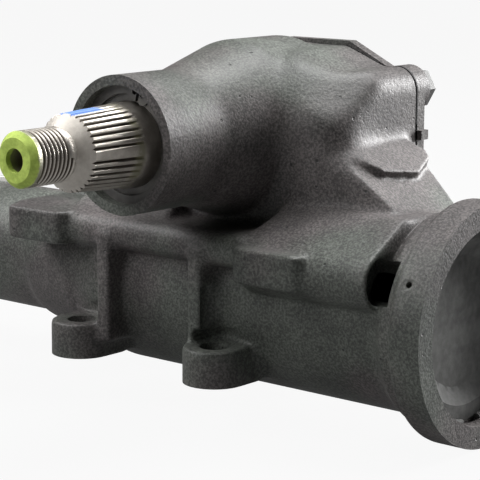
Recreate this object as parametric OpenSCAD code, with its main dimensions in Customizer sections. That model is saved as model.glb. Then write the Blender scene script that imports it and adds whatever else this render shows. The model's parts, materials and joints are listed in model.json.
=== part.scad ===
// Recirculating-ball power steering gear, bare, with its output shaft ready for an arm.
// A worm drives a rack piston on balls, the rack turns a toothed sector shaft across it,
// and a rotary valve at the worm's end lets oil push on either side of the piston.
// Lengths along the worm are counted from the sector shaft, towards the end plug, on x.
// The output end of the sector shaft points to -y and the side cover faces +y.

/* [Sector shaft] */
// Height of the sector shaft's axis above the worm's axis
sector_axis_height = 70; // [69:0.5:72]
// Diameter of the sector shaft's journals
journal_d = 34.9; // [33:0.1:36]
// Diameter of the output thread
output_thread_d = 22.2; // [18:0.1:24]
// Length of the output thread
output_thread_len = 21; // [16:1:28]
// Length of the tapered serrations
serration_len = 33; // [24:1:40]
// Number of serrations round the shaft, counting the blind ones
serration_count = 36; // [24:4:48]
// Diameter of the serrations at their outer end
serration_end_d = 30.7; // [28:0.1:32]
// Diameter of the centre hole in the output end
centre_hole_d = 9.4; // [5:0.1:10]

/* [Rack and sector teeth] */
// Module of the rack and sector teeth
tooth_module = 6; // [5.5:0.1:6.2]
// Pressure angle of the teeth
pressure_angle = 25; // [22:0.5:27]
// Radius of the sector's pitch circle
sector_pitch_r = 42; // [41:0.5:43]
// Width of the sector teeth along the shaft
sector_face_w = 32; // [24:1:34]
// Play between sector and rack flanks
tooth_backlash = 0.3; // [0.2:0.05:0.5]

/* [Worm and balls] */
// Lead of the worm's ball track
worm_lead = 15; // [13:0.5:17]
// Diameter of the circle through the ball centres
ball_circle_d = 27.2; // [26:0.1:29]
// Diameter of one ball
ball_d = 7.14; // [6:0.01:7.5]
// Number of balls in the working track
ball_count = 22; // [12:1:24]

/* [Piston and barrel] */
// Bore of the barrel
piston_bore_d = 70; // [68:0.5:71]
// Wall of the barrel round that bore
barrel_wall = 6; // [5:0.5:8]
// Length of the rack piston
piston_len = 100; // [96:1:104]
// Distance from the sector shaft to the face of the end ring
end_face_x = 122.8; // [120:0.2:130]
// Outer diameter of the end ring
end_ring_d = 99.8; // [96:0.2:104]
// Bore for the end plug
plug_bore_d = 81.4; // [78:0.2:84]
// Depth from the end face to the end plug
plug_recess = 10.5; // [8:0.5:13]
// Thickness of the end plug
plug_thick = 11; // [9:0.5:14]

/* [Valve end] */
// Bore for the valve body
valve_bore_d = 46; // [44:0.2:47]
// Outer diameter of the valve neck
neck_d = 58; // [57:0.5:62]
// Thread diameter of the adjuster plug
adjuster_thread_d = 50.8; // [49:0.1:52]
// Length of the valve body
valve_body_len = 48; // [44:1:52]
// Diameter of the input splines
input_spline_d = 19; // [17:0.1:20]
// Length of the input splines
input_spline_len = 28; // [20:1:36]
// Thread diameter of the pressure port
pressure_port_d = 16; // [14:0.5:18]
// Thread diameter of the return port
return_port_d = 18; // [14:0.5:18]
// Length of the port threads
port_thread_len = 14; // [10:0.5:14]

/* [Output boss and side cover] */
// Distance from the worm's axis to the output boss face
boss_reach = 84.7; // [82:0.1:90]
// Outer diameter of the output boss
boss_d = 56.8; // [55:0.2:60]
// Bore for the seals in the boss
seal_bore_d = 48.4; // [47.5:0.1:49]
// Distance from the worm's axis to the side cover's seat
cover_seat = 36; // [35:0.5:38]
// Spread of the cover bolts along the worm
cover_bolt_spread = 99; // [96:1:104]
// Spread of the cover bolts in height
cover_bolt_rise = 48; // [46:1:50]
// Radius of the cover's corner lugs
cover_lug_r = 10.5; // [10:0.5:12]
// Thickness of the side cover's rim
cover_rim = 5; // [4:0.5:7]
// Thickness of the cover gasket
gasket_thick = 0.8; // [0.5:0.1:1.5]

/* [Frame ears] */
// Spread of the frame bolts along the worm
ear_spread = 78; // [74:1:82]
// Spread of the frame bolts across the worm
ear_width = 94; // [93:1:98]
// Diameter of the frame bolt holes
ear_hole_d = 12.7; // [10.5:0.1:13.5]
// Outer radius of an ear
ear_r = 13.5; // [12.5:0.5:15]
// Thickness of an ear
ear_thick = 15.5; // [12:0.5:18]
// Drop from the worm's axis to the ears' lower face
ear_drop = 31.5; // [30:0.5:34]

/* [Hidden] */
$fn = 96;
small_fn = 24;

// Radial play of turning and sliding fits, of seated rings, and the air left beside moving parts
running_play = 0.05;
seat_play = 0.03;
air = 0.5;
// Overlap of a cut past the face that it opens
over = 1;

// Frame ears
ear_mid_x = -21;
ear_z = -ear_drop;
ear_scallop_r = 10;
ear_scallop_h = 6;

// Barrel profile along the worm
barrel_r = piston_bore_d / 2 + barrel_wall;
neck_r = neck_d / 2;
end_ring_r = end_ring_d / 2;
collar_wall = 3.8;
collar_r = plug_bore_d / 2 + collar_wall;
end_ring_w = 14;
end_ring_ramp = 3;
collar_w = 10;
collar_ramp = 4.5;
end_edge = 1;
end_ring_x = end_face_x - end_ring_w;
collar_x = end_ring_x - end_ring_ramp - collar_w;
cone_front_x = -58;
cone_back_x = -118;
cone_band_x = [-112, -79];
cone_band_rise = 0.9;
piston_stop_x = -70;
web_thick = 8;
web_hole_r = 15.5;

// End plug, its seal and its round wire ring
plug_bore_r = plug_bore_d / 2;
plug_face_x = end_face_x - plug_recess;
plug_seat_x = plug_face_x - plug_thick;
wire_r = 1.5;
wire_groove_r = plug_bore_r + wire_r;
wire_gap_angle = 16;
plug_dish_r = 27;
plug_dish_depth = 4;
plug_rim = 5;
plug_seal_r = 1.8;
punch_hole_r = 1.6;
punch_hole_angle = 63;

// Rack, sector and the travel that they share
sector_teeth = 3;
pitch = PI * tooth_module;
rack_pitch_z = sector_axis_height - sector_pitch_r;
tooth_addendum = 0.8 * tooth_module;
tooth_dedendum = tooth_module;
sector_tip_r = sector_pitch_r + tooth_addendum;
sector_root_r = sector_pitch_r - tooth_dedendum;
sector_base_r = sector_pitch_r * cos(pressure_angle);
sector_hub_r = 24;
sector_swing = 40;
sector_half_angle = (sector_teeth - 1) / 2 * pitch / sector_pitch_r * 180 / PI + 9;
flank_steps = 6;
cavity_r = sector_tip_r + 1;
cavity_hub_r = sector_hub_r + 8;
cavity_shoulder = 6;
cavity_wall = 5;
cavity_front = -sector_face_w / 2 - 1.5;

// Rack piston
piston_r = piston_bore_d / 2 - running_play;
piston_travel = sector_pitch_r * sector_swing * PI / 180;
piston_back_x = piston_stop_x + piston_travel + 2.5;
piston_front_x = piston_back_x + piston_len;
rack_half_len = (sector_teeth + 1) / 2 * pitch + 1.5;
ring_groove_x = piston_front_x - 12;
ring_groove_w = 4;
ring_groove_depth = 3;
ring_depth = 1.6;
piston_nut_r = ball_circle_d / 2 + ball_d / 2 + 0.3;
piston_plug_len = 8;

// Ball track, with the balls spread over the turns at the piston's open end
ball_circle_r = ball_circle_d / 2;
ball_r = ball_d / 2;
track_r = ball_r + 0.45;
worm_r = ball_circle_r - 1;
track_half_angle = sqrt(track_r * track_r - pow(ball_circle_r - worm_r, 2)) / worm_lead * 360;
track_steps = 10;
crown_steps = 6;
turns_per_slice = 1 / 16;
first_ball_x = piston_back_x + ball_d / 2;
ball_step = 27 / (ball_count - 1);
last_ball_x = first_ball_x + ball_step * (ball_count - 1);

// Ball return guide under the piston, its clamp and the clamp's screws
guide_r = 4.6;
guide_wall = 0.8;
guide_z = -24;
guide_pocket_z = -28.5;
guide_strap_z = guide_z - guide_r;
guide_pocket_half_w = 9;
guide_screw_r = 1.5;
guide_screw_len = 5;
guide_screw_head_r = 2.5;
guide_screw_head_len = 2;
guide_screw_x = [first_ball_x + 6, last_ball_x - 6];
guide_screw_y = [-6.2, 6.2];
clamp_thick = 1.5;
clamp_end_r = 2.6;
guide_leg = -guide_z - piston_nut_r + 2;
guide_trim = 10;

// Stack along the valve bore, from the web outwards
thrust_thick = 5.5;
race_thick = 1.5;
worm_flange_thick = 6.5;
worm_flange_r = 20;
worm_neck_r = 12;
worm_tip_gap = 1.5;
race_bore_r = worm_neck_r + 1.5;
thrust_needle_r = [worm_neck_r + 2.5, worm_flange_r - 1];
thrust_needles = 24;
web_x = piston_stop_x - web_thick;
worm_flange_x = web_x - thrust_thick - worm_flange_thick;
valve_body_x = worm_flange_x - valve_body_len;
adjuster_x = valve_body_x - thrust_thick;
worm_tip_x = piston_front_x - piston_plug_len - piston_travel - worm_tip_gap;
worm_track_x = piston_stop_x + air;
valve_bore_r = valve_bore_d / 2;
valve_bore_end_x = adjuster_x - 2.5;
adjuster_thread_r = adjuster_thread_d / 2;
adjuster_thread_len = 22;
neck_end_x = valve_bore_end_x - adjuster_thread_len;
locknut_thick = 8;
locknut_wall = 6;
adjuster_end_x = neck_end_x - locknut_thick - 2;
valve_body_r = valve_bore_r - 1;
valve_ring_depth = 2;
valve_ring_w = 3;
valve_ring_count = 4;
valve_ring_edge = 2;
valve_ring_step = (valve_body_len - valve_ring_w - 2 * valve_ring_edge) / (valve_ring_count - 1);
spool_r = 12.5;
spool_inset = 3;
stub_r = 8;
spline_depth = 0.8;
spline_count = 30;
stub_bearing_len = 14;
stub_bearing_r = 11.5;
stub_seal_len = 6;
stub_seal_r = 14;
dust_seal_len = 3;
stub_seal_set = 2;
stub_seal_x = adjuster_end_x + stub_seal_set + dust_seal_len;
stub_end_x = adjuster_end_x - 8 - input_spline_len;
torsion_bar_r = 3.2;
torsion_bar_hold = 20;
torsion_bar_x = stub_end_x + 10;
pin_r = 2;
cross_pin_r = 1.5;
cross_pin_x = adjuster_end_x - 4;
drive_pin_len = 8;
drive_pin_z = spool_r + 4;
adjuster_seal_r = 1.6;
adjuster_seal_x = valve_bore_end_x - 2 * adjuster_seal_r;

// Oil ports on the neck's far side
pressure_port_reach = 10;
return_port_reach = 36;
port_x = [valve_body_x + pressure_port_reach, valve_body_x + return_port_reach];
port_d = [pressure_port_d, return_port_d];
port_boss_r = 14;
port_face_y = neck_r + 15;
port_passage_r = 4;
port_seat_len = 5;
port_seat_step = 1.5;

// Output boss, its bearing and its seals, from the face inwards
journal_r = journal_d / 2;
boss_r = boss_d / 2;
boss_face_y = -boss_reach;
seal_bore_r = seal_bore_d / 2;
seal_bore_depth = 22;
seal_bore_end_y = boss_face_y + seal_bore_depth;
bearing_len = 35;
bearing_r = seal_bore_r - 1.5;
bearing_seat_y = seal_bore_end_y + bearing_len + 1;
roller_r = 1.4;
roller_count = 36;
roller_circle_r = journal_r + running_play + roller_r;
shaft_hole_r = journal_r + 1;
seal_len = 6;
backup_len = 2;
washer_len = 1.5;
snap_thick = 1.8;
snap_depth = 1.4;
snap_width = 5;
snap_angle = 73;
snap_half_gap = 1.8;
snap_y = seal_bore_end_y - 2 * seal_len - backup_len - washer_len - snap_thick;
snap_lug_angle = 7;
snap_lug_r = 3;
snap_eye_r = 1.2;
snap_eye_circle_r = seal_bore_r - 2.2;
snap_lug_circle_r = snap_eye_circle_r - 1;
snap_eye_angle = 5.5;

// Tower round the sector, drawn in x and z
flange_half_w = cover_bolt_spread / 2 + cover_lug_r;
cover_bolt_lift = 16.3;
cover_bolt_top_z = sector_axis_height + cover_bolt_lift;
cover_bolt_low_z = cover_bolt_top_z - cover_bolt_rise;
far_bolt_drop = 13;
shoulder_rise = cover_lug_r * 0.9;
cover_bolts = [
    [cover_bolt_spread / 2, cover_bolt_top_z],
    [cover_bolt_spread / 2, cover_bolt_low_z],
    [-cover_bolt_spread / 2, cover_bolt_low_z],
    [-cover_bolt_spread / 2, cover_bolt_top_z - far_bolt_drop]
];
crown_rise = 34;
flange_top_z = sector_axis_height + crown_rise;
cover_top_z = flange_top_z + 2;
crown_half_w = 23;
crown_far_half_w = 12;
crown_r = 38.4;
crown_front_y = -14;
crown_back_y = 20;
crown_ramp = 36;
cover_land = 8;
tower_front_y = cavity_front - cavity_wall;
tower_edge_r = 15;
crown_edge_r = 26;
flare_run = 34;
flare_drop = 24;
flare_top_z = sector_axis_height - 6;
flare_top_y = [tower_front_y + 3, cover_seat - 3];
flare_foot_y = [tower_front_y + 6, cover_seat - 14];
pad_thick = 3.5;
pad_outline = [
    [0, -15],
    [-3, 2],
    [-4, 7],
    [-2, 27],
    [7, 33],
    [12, 30],
    [19, 14],
    [15, -6],
    [6, -13]
];

// Side cover outwards from the gasket
cover_face_y = cover_seat + gasket_thick;
cover_lug_len = 9;
cover_dome_r = 27;
cover_dome_len = 21;
cover_dome_edge = 4;
cover_nub_reach = 2.2;
cover_nub_height = 4.1;
cover_nub_z = sector_axis_height - 4.3;
bushing_r = journal_r + 2.5;
bushing_len = 15;
socket_end_y = cover_face_y + bushing_len + 2;
bolt_r = 5;
bolt_hole_play = 0.3;
bolt_head_af = 15;
bolt_head_len = 7;
bolt_flange_r = 9;
bolt_flange_len = 2;
bolt_thread_len = 16;
bolt_hole_len = bolt_thread_len + 2;
lash_screw_r = 5;
lash_head_r = 8.5;
lash_head_len = 4;
lash_pocket_r = 9.6;
lash_pocket_depth = 8;
lash_screw_end_y = cover_face_y + cover_dome_len + 15;
lash_nut_af = 17;
lash_nut_len = 8;
lash_slot_w = 1.6;
shim_len = 1.6;
shaft_end_y = socket_end_y - 2;

// Output end of the sector shaft
serration_tip_r = journal_r - 0.4;
serration_root_r = serration_tip_r - 1.3;
serration_shrink = serration_end_d / 2 / serration_tip_r;
serration_end_y = boss_face_y - serration_len;
runout_len = 7;
runout_r = serration_root_r * (1 - (1 - serration_shrink) * runout_len / serration_len) - seat_play;
output_thread_r = output_thread_d / 2;
thread_neck = 2.5;
thread_edge = 2;
thread_end_y = serration_end_y - thread_neck;
shaft_tip_y = thread_end_y - output_thread_len;
centre_hole_depth = 7;
centre_drill_depth = 16;

// Gallery ridge, ribs and lugs on the near side
ridge_r = 12;
ridge_y = -38;
ridge_z = 20;
ridge_back_x = 31;
ridge_front_x = 97;
band_r = 7.5;
band_y = -42;
band_z = 24.5;
band_back_x = -104;
hollow_r = 30;
hollow_x = 8;
hollow_z = 52;
shelf_back_x = -72;
shelf_top_z = barrel_r + 2;
shelf_angle = 30;
ridge_pocket_r = 9.5;
ridge_pocket_depth = 9;
lug_len = 34.5;
lug_height = 15;
lug_edge_r = 4;
back_lug_x = -100.5;
back_lug_reach = 54.5;
back_lug_z = 16.5;
front_lug_x = 32;
front_lug_reach = 54.5;
front_lug_z = 13.5;
rib_x = [-44, 9];
rib_w = 7.5;
rib_y = -50.5;

// The part's origin is the centre of the frame bolts on the ears' lower face
module placed() {
    translate([-ear_mid_x, 0, -ear_z]) children();
}

// Turns a shape drawn up z so that it runs along x from a given place
module along_x(x) {
    translate([x, 0, 0]) rotate([0, 90, 0]) children();
}

// Turns a shape drawn up z so that it runs along y on the sector shaft's axis
module along_y(y) {
    translate([0, y, sector_axis_height]) rotate([-90, 0, 0]) children();
}

// Extrudes an outline drawn in x and z between two places on y
module between_y(y0, y1) {
    translate([0, y1, 0]) rotate([90, 0, 0]) linear_extrude(y1 - y0) children();
}

// Plain tube drawn up z
module tube(len, r_out, r_in) {
    difference() {
        cylinder(h = len, r = r_out);
        translate([0, 0, -over]) cylinder(h = len + 2 * over, r = r_in);
    }
}

// Round-section ring lying flat round z
module wire_ring(r_mid, r_wire, angle = 360) {
    rotate_extrude(angle = angle) translate([r_mid, 0]) circle(r_wire, $fn = small_fn);
}

module hexagon(af) {
    circle(r = af / sqrt(3), $fn = 6);
}

// Radius of the cone between neck and barrel
function cone_r(x) = neck_r + (barrel_r - neck_r) * (x - cone_back_x) / (cone_front_x - cone_back_x);

// Barrel, cone with its raised band, and neck as one turned profile
module barrel_outside() {
    along_x(0) rotate_extrude() polygon([
        [0, neck_end_x],
        [neck_r, neck_end_x],
        [neck_r, cone_back_x],
        [cone_r(cone_band_x[0]), cone_band_x[0]],
        [cone_r(cone_band_x[0]) + cone_band_rise, cone_band_x[0]],
        [cone_r(cone_band_x[1]) + cone_band_rise, cone_band_x[1]],
        [cone_r(cone_band_x[1]), cone_band_x[1]],
        [barrel_r, cone_front_x],
        [barrel_r, collar_x],
        [collar_r, collar_x + collar_ramp],
        [collar_r, end_ring_x - end_ring_ramp],
        [end_ring_r, end_ring_x],
        [end_ring_r, end_face_x - end_edge],
        [end_ring_r - end_edge, end_face_x],
        [0, end_face_x]
    ]);
}

// Outline of the flange under the side cover, with its four bolt lugs
module flange_outline(top_z) {
    shoulder_x = cover_bolt_spread / 2;
    far_top_z = cover_bolt_top_z - far_bolt_drop;
    polygon([
        [-crown_far_half_w, top_z],
        [crown_half_w, top_z],
        [shoulder_x - cover_lug_r / 2, cover_bolt_top_z + shoulder_rise],
        [shoulder_x, cover_bolt_low_z],
        [-shoulder_x, cover_bolt_low_z],
        [-shoulder_x - cover_lug_r / 2, far_top_z + shoulder_rise]
    ]);
    translate([0, cover_bolt_low_z]) square([flange_half_w, cover_bolt_rise]);
    translate([-flange_half_w, cover_bolt_low_z])
        square([flange_half_w, cover_bolt_rise - far_bolt_drop]);
    for (p = cover_bolts) translate(p) circle(cover_lug_r);
    intersection() {
        translate([0, sector_axis_height]) circle(cavity_r + cover_land);
        translate([-flange_half_w, 0]) square([2 * flange_half_w, sector_axis_height]);
    }
}

// Opening that the sector passes through, round above and toothed-gear wide below
module sector_opening() {
    translate([0, sector_axis_height]) circle(cavity_hub_r);
    intersection() {
        translate([0, sector_axis_height]) circle(cavity_r);
        translate([-cavity_r, 0]) square([2 * cavity_r, sector_axis_height - cavity_shoulder]);
    }
}

// Plan of the tower with its two front corners rounded
module tower_plan() {
    translate([-flange_half_w, tower_front_y + tower_edge_r])
        square([2 * flange_half_w, cover_seat - tower_front_y - tower_edge_r]);
    translate([-flange_half_w + tower_edge_r, tower_front_y])
        square([2 * (flange_half_w - tower_edge_r), tower_edge_r + over]);
    for (side = [-1, 1])
        translate([side * (flange_half_w - tower_edge_r), tower_front_y + tower_edge_r])
            circle(tower_edge_r);
}

// Side view of the tower, in y and z, with its upper front edge rounded
module tower_side() {
    depth = cover_seat - tower_front_y;
    translate([tower_front_y, 0]) square([depth, flange_top_z - crown_edge_r]);
    translate([tower_front_y + crown_edge_r, 0]) square([depth - crown_edge_r, flange_top_z]);
    translate([tower_front_y + crown_edge_r, flange_top_z - crown_edge_r]) circle(crown_edge_r);
}

// Buttress from the tower's side wall down to the barrel
module flare() {
    hull() {
        translate([flange_half_w - flare_run, flare_top_y[0], 0])
            cube([flare_run - seat_play, flare_top_y[1] - flare_top_y[0], flare_top_z]);
        translate([flange_half_w, flare_foot_y[0], 0])
            cube([flare_run, flare_foot_y[1] - flare_foot_y[0], flare_top_z - flare_drop]);
    }
}

// Raised casting pad on the near buttress
module flare_pad() {
    translate([flange_half_w, 0, flare_top_z]) rotate([0, atan(flare_drop / flare_run), 0])
        translate([0, 0, -pad_thick]) linear_extrude(2 * pad_thick) polygon(pad_outline);
}

// Boss for the seals, widening into the crown over the sector
module tower_outside() {
    along_y(boss_face_y) cylinder(h = boss_reach, r = boss_r);
    along_y(crown_front_y - crown_ramp) cylinder(h = crown_ramp, r1 = boss_r, r2 = crown_r);
    along_y(crown_front_y) cylinder(h = crown_back_y - crown_front_y, r = crown_r);
    intersection() {
        between_y(tower_front_y, cover_seat) flange_outline(flange_top_z);
        linear_extrude(flange_top_z + over) tower_plan();
        along_x(-flange_half_w) linear_extrude(2 * flange_half_w) rotate(90) tower_side();
    }
    for (side = [0, 1]) mirror([side, 0, 0]) flare();
    flare_pad();
}

// Block with rounded upright edges that reaches out from the barrel towards -y
module lug(x, reach, z) {
    translate([x, -reach, z]) linear_extrude(lug_height) {
        translate([0, lug_edge_r]) square([lug_len, reach - lug_edge_r]);
        translate([lug_edge_r, 0]) square([lug_len - 2 * lug_edge_r, lug_edge_r + over]);
        for (corner_x = [lug_edge_r, lug_len - lug_edge_r])
            translate([corner_x, lug_edge_r]) circle(lug_edge_r);
    }
}

// Round-nosed bar along x that reaches out from the worm's axis towards -y
module side_bar(x0, x1, y, z, r) {
    translate([0, y, z]) along_x(x0) cylinder(h = x1 - x0, r = r);
    translate([x0, y, z - r]) cube([x1 - x0, -y, 2 * r]);
}

// Sloping shelf between the ridge and the tower, hollowed out under the output boss
module shelf() {
    difference() {
        along_x(shelf_back_x) linear_extrude(ridge_front_x - shelf_back_x) rotate(90) polygon([
            [ridge_y - ridge_r * sin(shelf_angle), ridge_z + ridge_r * cos(shelf_angle)],
            [ridge_y, ridge_z],
            [0, ridge_z],
            [0, shelf_top_z],
            [tower_front_y, shelf_top_z]
        ]);
        between_y(-boss_reach, tower_front_y) translate([hollow_x, hollow_z]) circle(hollow_r);
    }
}

// Oil gallery ridge, the slim band that carries it on, their lugs and the upright ribs below
module near_side() {
    side_bar(ridge_back_x, ridge_front_x, ridge_y, ridge_z, ridge_r);
    side_bar(band_back_x, ridge_back_x + over, band_y, band_z, band_r);
    shelf();
    lug(back_lug_x, back_lug_reach, back_lug_z);
    lug(front_lug_x, front_lug_reach, front_lug_z);
    for (x = rib_x) translate([x - rib_w / 2, rib_y, ear_z + ear_thick / 2])
        cube([rib_w, -rib_y, band_z - ear_z - ear_thick / 2]);
}

module ear_places() {
    for (x = [-1, 1], y = [-1, 1])
        translate([ear_mid_x + x * ear_spread / 2, y * ear_width / 2, ear_z])
            rotate([0, 0, y > 0 ? 180 : 0]) children();
}

module ear_outside() {
    cylinder(h = ear_thick, r = ear_r);
    translate([-ear_r, 0, 0]) cube([2 * ear_r, ear_width / 2, ear_thick]);
}

module port_places() {
    for (i = [0, 1]) translate([port_x[i], port_face_y, 0]) rotate([90, 0, 0]) {
        $port_r = port_d[i] / 2;
        children();
    }
}

// Bores along the worm's axis, from the end ring to the adjuster plug
module worm_bores() {
    along_x(piston_stop_x) cylinder(h = plug_seat_x - piston_stop_x + over, r = piston_bore_d / 2);
    along_x(plug_seat_x) cylinder(h = end_face_x - plug_seat_x + over, r = plug_bore_r);
    along_x(plug_face_x) cylinder(h = 2 * wire_r, r = wire_groove_r);
    along_x(web_x - over) cylinder(h = web_thick + 2 * over, r = web_hole_r);
    along_x(valve_bore_end_x - over) cylinder(h = web_x - valve_bore_end_x + over, r = valve_bore_r);
    along_x(neck_end_x - over) cylinder(h = valve_bore_end_x - neck_end_x + over, r = adjuster_thread_r);
}

// Bores along the sector shaft, from the boss face to the side cover
module sector_bores() {
    along_y(boss_face_y - over) cylinder(h = seal_bore_end_y - boss_face_y + over, r = seal_bore_r);
    along_y(snap_y) cylinder(h = snap_thick, r = seal_bore_r + snap_depth);
    along_y(seal_bore_end_y - over) cylinder(h = bearing_seat_y - seal_bore_end_y + over, r = bearing_r);
    along_y(bearing_seat_y - over) cylinder(h = -bearing_seat_y + over, r = shaft_hole_r);
    between_y(cavity_front, cover_seat + over) sector_opening();
    along_y(cover_seat) cylinder(h = barrel_r, r = cavity_r + cover_land + air);
    for (p = cover_bolts)
        between_y(cover_seat - bolt_hole_len, cover_seat + over) translate(p) circle(bolt_r);
}

module gear_housing() {
    color("dimgray") placed() difference() {
        union() {
            barrel_outside();
            tower_outside();
            near_side();
            ear_places() ear_outside();
            port_places() cylinder(h = port_face_y, r = port_boss_r);
        }
        worm_bores();
        sector_bores();
        ear_places() {
            translate([0, 0, -over]) cylinder(h = ear_thick + 2 * over, d = ear_hole_d);
            translate([0, 0, ear_thick]) cylinder(h = ear_scallop_h, r = ear_scallop_r);
        }
        port_places() {
            translate([0, 0, -over]) cylinder(h = port_thread_len + over, r = $port_r);
            cylinder(h = port_thread_len + port_seat_len, r = $port_r - port_seat_step);
            cylinder(h = port_face_y, r = port_passage_r);
        }
        translate([0, ridge_y, ridge_z]) along_x(ridge_front_x - ridge_pocket_depth)
            cylinder(h = ridge_pocket_depth + over, r = ridge_pocket_r);
        rotate([punch_hole_angle, 0, 0]) translate([plug_face_x + wire_r, 0, 0])
            cylinder(h = end_ring_r + over, r = punch_hole_r);
    }
}

// Side cover with its bolt lugs and the blind dome over the shaft's end
module side_cover() {
    color("gray") placed() difference() {
        union() {
            between_y(cover_face_y, cover_face_y + cover_rim) flange_outline(cover_top_z);
            translate([flange_half_w - over, cover_face_y, cover_nub_z])
                cube([cover_nub_reach + over, cover_rim, cover_nub_height]);
            for (p = cover_bolts)
                between_y(cover_face_y, cover_face_y + cover_lug_len) translate(p) circle(cover_lug_r);
            along_y(cover_face_y) rotate_extrude() polygon([
                [0, 0],
                [cover_dome_r + cover_dome_edge, 0],
                [cover_dome_r + cover_dome_edge, cover_rim],
                [cover_dome_r, cover_rim + cover_dome_edge],
                [cover_dome_r, cover_dome_len - cover_dome_edge],
                [cover_dome_r - cover_dome_edge, cover_dome_len],
                [0, cover_dome_len]
            ]);
        }
        along_y(cover_face_y - over) cylinder(h = socket_end_y - cover_face_y + over, r = bushing_r);
        along_y(cover_face_y) cylinder(h = cover_dome_len + over, r = lash_screw_r + seat_play);
        for (p = cover_bolts) between_y(cover_face_y - over, cover_face_y + cover_lug_len + over)
            translate(p) circle(bolt_r + bolt_hole_play);
    }
}

module side_cover_gasket() {
    color("black") placed() between_y(cover_seat, cover_face_y) difference() {
        flange_outline(flange_top_z);
        sector_opening();
        for (p = cover_bolts) translate(p) circle(bolt_r + bolt_hole_play);
    }
}

module side_cover_bolts() {
    head_y = cover_face_y + cover_lug_len;
    color("dimgray") placed() for (p = cover_bolts) {
        between_y(cover_seat - bolt_thread_len, head_y) translate(p) circle(bolt_r - seat_play);
        between_y(head_y, head_y + bolt_flange_len) translate(p) circle(bolt_flange_r);
        between_y(head_y + bolt_flange_len, head_y + bolt_head_len) translate(p) hexagon(bolt_head_af);
    }
}

module side_cover_bushing() {
    color("goldenrod") placed() along_y(socket_end_y - bushing_len)
        tube(bushing_len, bushing_r - seat_play, journal_r + running_play);
}

module lash_adjuster_screw() {
    head_y = shaft_end_y - lash_pocket_depth + shim_len + running_play;
    color("silver") placed() difference() {
        union() {
            along_y(head_y) cylinder(h = lash_head_len, r = lash_head_r);
            along_y(head_y) cylinder(h = lash_screw_end_y - head_y, r = lash_screw_r);
        }
        translate([-lash_screw_r, lash_screw_end_y - 2 * lash_slot_w, sector_axis_height - lash_slot_w / 2])
            cube([2 * lash_screw_r, 2 * lash_slot_w + over, lash_slot_w]);
    }
}

module lash_adjuster_nut() {
    color("silver") placed() along_y(cover_face_y + cover_dome_len) difference() {
        linear_extrude(lash_nut_len) hexagon(lash_nut_af);
        translate([0, 0, -over]) cylinder(h = lash_nut_len + 2 * over, r = lash_screw_r + seat_play);
    }
}

module sector_bearing_shell() {
    color("silver") placed() along_y(bearing_seat_y - bearing_len)
        tube(bearing_len, bearing_r - seat_play, roller_circle_r + roller_r + running_play);
}

module sector_bearing_rollers() {
    color("gainsboro") placed() along_y(bearing_seat_y - bearing_len + over) for (i = [0 : roller_count - 1])
        rotate([0, 0, i * 360 / roller_count]) translate([roller_circle_r, 0, 0])
            cylinder(h = bearing_len - 2 * over, r = roller_r, $fn = small_fn);
}

// Ring that fills the seal bore round the sector shaft
module seal_bore_ring(y, len) {
    along_y(y) tube(len, seal_bore_r - seat_play, journal_r + running_play);
}

module inner_shaft_seal() {
    color("black") placed() seal_bore_ring(seal_bore_end_y - seal_len, seal_len);
}

module seal_backup_washer() {
    color("silver") placed() seal_bore_ring(seal_bore_end_y - seal_len - backup_len, backup_len);
}

module outer_shaft_seal() {
    color("black") placed() seal_bore_ring(seal_bore_end_y - 2 * seal_len - backup_len, seal_len);
}

module seal_washer() {
    color("dimgray") placed() seal_bore_ring(snap_y + snap_thick, washer_len);
}

// Internal snap ring with an eye on each side of its gap
module seal_retaining_ring() {
    ring_r = seal_bore_r + snap_depth - seat_play;
    color("dimgray") placed() between_y(snap_y, snap_y + snap_thick)
        translate([0, sector_axis_height]) rotate(snap_angle) difference() {
            union() {
                difference() {
                    circle(ring_r);
                    circle(ring_r - snap_width);
                }
                for (side = [-1, 1])
                    rotate(side * snap_lug_angle) translate([snap_lug_circle_r, 0]) circle(snap_lug_r);
            }
            polygon([[0, 0], [2 * ring_r, -snap_half_gap], [2 * ring_r, snap_half_gap]]);
            for (side = [-1, 1])
                rotate(side * snap_eye_angle) translate([snap_eye_circle_r, 0]) circle(snap_eye_r);
        }
}

// Dished disc in the barrel's end, with a groove for its seal
module end_plug() {
    color("dimgray") placed() difference() {
        along_x(plug_seat_x) cylinder(h = plug_thick, r = plug_bore_r - seat_play);
        along_x(plug_face_x - plug_dish_depth)
            cylinder(h = plug_dish_depth + over, r1 = plug_dish_r, r2 = plug_bore_r - plug_rim);
        along_x(plug_seat_x + plug_thick / 2) wire_ring(plug_bore_r - plug_seal_r, plug_seal_r + seat_play);
    }
}

module end_plug_seal() {
    color("black") placed() along_x(plug_seat_x + plug_thick / 2)
        wire_ring(plug_bore_r - plug_seal_r - seat_play, plug_seal_r - seat_play);
}

module end_plug_retaining_ring() {
    color("silver") placed() along_x(plug_face_x + wire_r) rotate([0, 0, wire_gap_angle / 2])
        wire_ring(plug_bore_r - seat_play, wire_r - seat_play, 360 - wire_gap_angle);
}

// Threaded plug that closes the valve end and preloads the thrust bearings
module adjuster_plug() {
    color("silver") placed() difference() {
        along_x(adjuster_end_x) union() {
            cylinder(h = valve_bore_end_x - adjuster_end_x, r = adjuster_thread_r - seat_play);
            cylinder(h = adjuster_x - adjuster_end_x, r = valve_bore_r - seat_play);
        }
        along_x(adjuster_end_x - over)
            cylinder(h = stub_seal_x + stub_seal_len - adjuster_end_x + over, r = stub_seal_r);
        along_x(adjuster_end_x) cylinder(h = adjuster_x - adjuster_end_x + over, r = stub_bearing_r);
        along_x(adjuster_seal_x) wire_ring(adjuster_thread_r - adjuster_seal_r, adjuster_seal_r + seat_play);
    }
}

module adjuster_plug_seal() {
    color("black") placed() along_x(adjuster_seal_x)
        wire_ring(adjuster_thread_r - adjuster_seal_r - seat_play, adjuster_seal_r - seat_play);
}

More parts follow.
